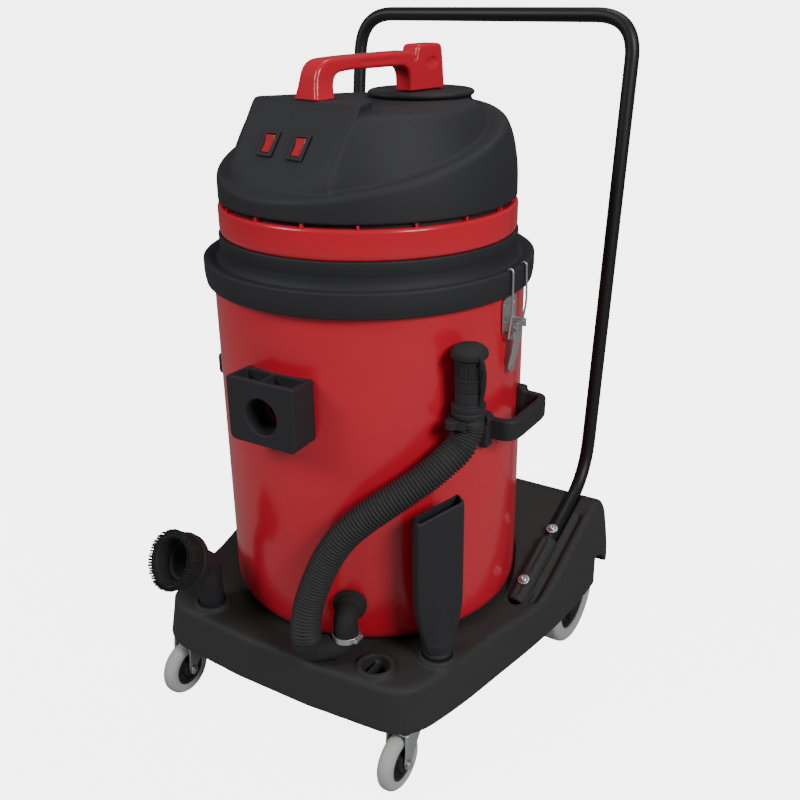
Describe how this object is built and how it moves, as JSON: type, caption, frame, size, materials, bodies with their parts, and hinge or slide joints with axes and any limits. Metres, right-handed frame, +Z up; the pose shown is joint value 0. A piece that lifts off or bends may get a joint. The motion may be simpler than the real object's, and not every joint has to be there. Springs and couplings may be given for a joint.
{
  "type": "shop vacuum",
  "caption": "Wet and dry shop vacuum: round tank with a lift-off motor head, side latches and a drain hose, on a wheeled trolley with a push handle and stowed tools.",
  "frame": {"origin": "on the floor, under the middle of the footprint without the drain hose", "axes": "+Z up; -Y is the front, with the hose inlet and the casters; +Y the rear, with the big wheels and the push handle; +X the side with the drain hose"},
  "size_m": [0.576, 0.6884, 0.9889],
  "materials": {
    "red_shell": "gloss",
    "black_shell": "satin, fine texture",
    "black_base": "matt, fine grain",
    "handle_tube": "satin powder coat",
    "black_rubber": "soft matt",
    "grey_tyre": "non-marking, matt",
    "zinc": "bright zinc plate",
    "lit_red": "clear red",
    "motor_case": "cast",
    "felt": "needle felt",
    "float_foam": "closed foam",
    "hose": "ribbed, semi-gloss",
    "bristle": "nylon tufts"
  },
  "bodies": {
    "chassis": {"trolley_base": "black_base", "rear_axle": "zinc", "push_handle": "handle_tube", "handle_saddle_right": "black_base", "handle_saddle_left": "black_base", "handle_bolt_right_1": "zinc", "handle_bolt_right_2": "zinc", "handle_bolt_left_1": "zinc", "handle_bolt_left_2": "zinc", "caster_plate_right": "zinc", "caster_plate_left": "zinc", "tank": "red_shell", "inlet_block": "black_shell", "inlet_hood": "black_shell", "tank_handle_right": "black_shell", "tank_handle_left": "black_shell", "latch_bracket_right": "zinc", "latch_bracket_left": "zinc", "drain_elbow": "black_rubber", "drain_clamp": "zinc", "drain_hose": "hose", "hose_cuff": "black_shell", "drain_cap": "black_rubber", "hose_clip": "black_shell", "round_brush_body": "black_shell", "round_brush_bristles": "bristle", "crevice_tool": "black_shell"},
    "head": {"tank_seal": "black_rubber", "motor_deck": "black_shell", "exhaust_band": "red_shell", "head_cover": "black_shell", "cap_disc": "black_shell", "carry_handle": "red_shell", "switch_frame_right": "black_shell", "switch_frame_left": "black_shell", "cord_gland": "black_rubber", "vacuum_motor_right": "motor_case", "vacuum_motor_left": "motor_case", "float_cage": "black_shell", "cloth_filter": "felt"},
    "shutoff_float": {"shutoff_float": "float_foam"},
    "caster_right": {"caster_fork_right": "zinc", "caster_bolt_right": "zinc"},
    "caster_wheel_right": {"caster_tyre_right": "grey_tyre", "caster_hub_right": "black_shell"},
    "rear_wheel_right": {"rear_tyre_right": "grey_tyre", "rear_hub_right": "black_shell"},
    "rocker_right": {"switch_rocker_right": "lit_red"},
    "latch_lever_right": {"latch_lever_right": "zinc"},
    "latch_bail_right": {"latch_bail_right": "zinc"},
    "caster_left": {"caster_fork_left": "zinc", "caster_bolt_left": "zinc"},
    "caster_wheel_left": {"caster_tyre_left": "grey_tyre", "caster_hub_left": "black_shell"},
    "rear_wheel_left": {"rear_tyre_left": "grey_tyre", "rear_hub_left": "black_shell"},
    "rocker_left": {"switch_rocker_left": "lit_red"},
    "latch_lever_left": {"latch_lever_left": "zinc"},
    "latch_bail_left": {"latch_bail_left": "zinc"}
  },
  "joints": [
    {"name": "head_lift", "type": "slide", "parent": "chassis", "child": "head", "axis": [0, 0, 1], "range_m": [0, 0.25]},
    {"name": "float_rise", "type": "slide", "parent": "head", "child": "shutoff_float", "axis": [0, 0, 1], "range_m": [0, 0.045]},
    {"name": "caster_swivel_right", "type": "hinge", "parent": "chassis", "child": "caster_right", "pos_m": [0.196, -0.24661, 0.098], "axis": [0, 0, 1], "continuous": true},
    {"name": "caster_roll_right", "type": "hinge", "parent": "caster_right", "child": "caster_wheel_right", "pos_m": [0.196, -0.27661, 0.042], "axis": [1, 0, 0], "continuous": true},
    {"name": "rear_roll_right", "type": "hinge", "parent": "chassis", "child": "rear_wheel_right", "pos_m": [0.255, 0.16139, 0.08], "axis": [1, 0, 0], "continuous": true},
    {"name": "rocker_press_right", "type": "hinge", "parent": "head", "child": "rocker_right", "pos_m": [0.00193, -0.17293, 0.83616], "axis": [-0.9848, 0.1736, 0], "range_deg": [0, 11]},
    {"name": "latch_lever_turn_right", "type": "hinge", "parent": "chassis", "child": "latch_lever_right", "pos_m": [0.236, -0.02261, 0.604], "axis": [0, -1, 0], "range_deg": [0, 150]},
    {"name": "latch_bail_turn_right", "type": "hinge", "parent": "latch_lever_right", "child": "latch_bail_right", "pos_m": [0.229, -0.02261, 0.588], "axis": [0, -1, 0], "range_deg": [-150, 0]},
    {"name": "caster_swivel_left", "type": "hinge", "parent": "chassis", "child": "caster_left", "pos_m": [-0.196, -0.24661, 0.098], "axis": [0, 0, 1], "continuous": true},
    {"name": "caster_roll_left", "type": "hinge", "parent": "caster_left", "child": "caster_wheel_left", "pos_m": [-0.196, -0.27661, 0.042], "axis": [1, 0, 0], "continuous": true},
    {"name": "rear_roll_left", "type": "hinge", "parent": "chassis", "child": "rear_wheel_left", "pos_m": [-0.255, 0.16139, 0.08], "axis": [1, 0, 0], "continuous": true},
    {"name": "rocker_press_left", "type": "hinge", "parent": "head", "child": "rocker_left", "pos_m": [-0.05322, -0.16321, 0.83616], "axis": [-0.9848, 0.1736, 0], "range_deg": [0, 11]},
    {"name": "latch_lever_turn_left", "type": "hinge", "parent": "chassis", "child": "latch_lever_left", "pos_m": [-0.236, -0.02261, 0.604], "axis": [0, 1, 0], "range_deg": [0, 150]},
    {"name": "latch_bail_turn_left", "type": "hinge", "parent": "latch_lever_left", "child": "latch_bail_left", "pos_m": [-0.229, -0.02261, 0.588], "axis": [0, 1, 0], "range_deg": [-150, 0]}
  ],
  "couplings": [
    {"joint": "latch_bail_turn_right", "follows": "latch_lever_turn_right", "ratio": -1},
    {"joint": "latch_bail_turn_left", "follows": "latch_lever_turn_left", "ratio": -1}
  ]
}
